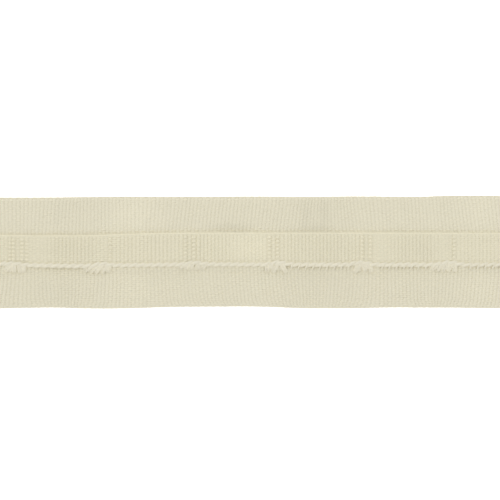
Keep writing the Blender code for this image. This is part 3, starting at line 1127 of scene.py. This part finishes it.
class BLINDTAPE_OT_selvedge_loops(Operator):
    """Turn the weft round both edges in small loops, one to every second rib"""

    bl_idname = "blindtape.selvedge_loops"
    bl_label = "Selvedge loops"

    def execute(self, context):
        strands = []
        last_rib = int(TAPE_LENGTH / RIB_PITCH / 2) - 1
        for side, line_name, first in ((1, "upper_edge", 1), (-1, "lower_edge", 0)):
            for rib in range(first - last_rib, last_rib, 2):
                path = selvedge_loop(rib, side, line_name)
                strands.append((path, np.full(len(path), LOOP_HALF_WIDTH), 1.0))
        piece = yarns("selvedge_loops", strands, 6)
        hang(piece, cream_cloth("cream selvedge yarn", context.scene.tape_colours.ground))
        return {"FINISHED"}


class BLINDTAPE_OT_declare_cloth(Operator):
    """Does nothing: it declares no sheet of cloth and no pieces on it"""

    bl_idname = "blindtape.declare_cloth"
    bl_label = "Declare the cloth"

    def execute(self, context):
        return {"FINISHED"}


class BLINDTAPE_OT_stage(Operator):
    """Set the white table, the soft light and the camera straight above the tape"""

    bl_idname = "blindtape.stage"
    bl_label = "Stage"

    def execute(self, context):
        stage = context.scene.tape_stage
        make_floor(stage)
        make_light(stage)
        make_camera(stage)
        return {"FINISHED"}


def make_floor(stage):
    bpy.ops.mesh.primitive_plane_add(size=4.0, location=(0, 0, -0.02 * MM))
    floor = bpy.context.active_object
    floor.name = "white_table"
    material = bpy.data.materials.new("white table")
    material.use_nodes = True
    shader = material.node_tree.nodes["Principled BSDF"]
    set_inputs(shader, {"Base Color": (0.92, 0.92, 0.92, 1.0), "Roughness": 0.9})
    set_inputs(shader, {"Emission Color": (1.0, 1.0, 1.0, 1.0), "Emission Strength": stage.floor_glow})
    floor.data.materials.append(material)


def make_light(stage):
    world = bpy.data.worlds.new("soft room")
    world.use_nodes = True
    sky = world.node_tree.nodes["Background"]
    set_inputs(sky, {"Color": (1.0, 1.0, 1.0, 1.0), "Strength": stage.sky})
    bpy.context.scene.world = world
    lamp = bpy.data.lights.new("soft key", "SUN")
    lamp.energy = stage.key
    lamp.angle = math.radians(35)
    key = bpy.data.objects.new("soft key", lamp)
    key.rotation_euler = Vector((0.65, -0.65, -1.45)).to_track_quat("-Z", "Y").to_euler()
    bpy.context.collection.objects.link(key)
    bpy.context.scene.view_settings.view_transform = "Standard"


def make_camera(stage):
    """A long lens straight above the tape, which sees just the length that the photograph shows."""
    data = bpy.data.cameras.new("camera")
    data.lens = stage.lens
    camera = bpy.data.objects.new("camera", data)
    bpy.context.collection.objects.link(camera)
    view_width = PHOTO_WIDTH_PX * PIXEL
    distance = view_width * data.lens / data.sensor_width
    middle_x = (PHOTO_WIDTH_PX / 2 - TAPE_MIDDLE_PX[0]) * PIXEL
    middle_y = (TAPE_MIDDLE_PX[1] - PHOTO_WIDTH_PX / 2) * PIXEL
    camera.location = (middle_x, middle_y, distance + GROUND_THICKNESS)
    data.clip_start = 0.01
    data.clip_end = 10.0
    bpy.context.scene.camera = camera


PIECES = (
    BLINDTAPE_OT_ground_cloth,
    BLINDTAPE_OT_pocket_band,
    BLINDTAPE_OT_mouth_strand,
    BLINDTAPE_OT_tie_yarns,
    BLINDTAPE_OT_mouth_floats,
    BLINDTAPE_OT_selvedge_loops,
    BLINDTAPE_OT_declare_cloth,
    BLINDTAPE_OT_stage,
)


class BLINDTAPE_PT_panel(Panel):
    bl_label = "Blind tape"
    bl_idname = "BLINDTAPE_PT_panel"
    bl_space_type = "VIEW_3D"
    bl_region_type = "UI"
    bl_category = "Blind tape"

    def draw(self, context):
        for settings in (context.scene.tape_weave, context.scene.tape_colours, context.scene.tape_stage):
            box = self.layout.box()
            for name in settings.bl_rna.properties.keys():
                if name not in ("rna_type", "name"):
                    box.prop(settings, name)
        for operator in PIECES:
            self.layout.operator(operator.bl_idname)


SETTINGS = {"tape_weave": TapeWeave, "tape_colours": TapeColours, "tape_stage": TapeStage}


def register():
    for cls in (*SETTINGS.values(), *PIECES, BLINDTAPE_PT_panel):
        bpy.utils.register_class(cls)
    for name, cls in SETTINGS.items():
        setattr(bpy.types.Scene, name, PointerProperty(type=cls))


def unregister():
    for name in SETTINGS:
        delattr(bpy.types.Scene, name)
    for cls in reversed((*SETTINGS.values(), *PIECES, BLINDTAPE_PT_panel)):
        bpy.utils.unregister_class(cls)


def main():
    register()
    bpy.ops.blindtape.ground_cloth()
    bpy.ops.blindtape.pocket_band()
    bpy.ops.blindtape.mouth_strand()
    bpy.ops.blindtape.tie_yarns()
    bpy.ops.blindtape.mouth_floats()
    bpy.ops.blindtape.selvedge_loops()
    bpy.ops.blindtape.declare_cloth()
    bpy.ops.blindtape.stage()


if __name__ == "__main__":
    main()
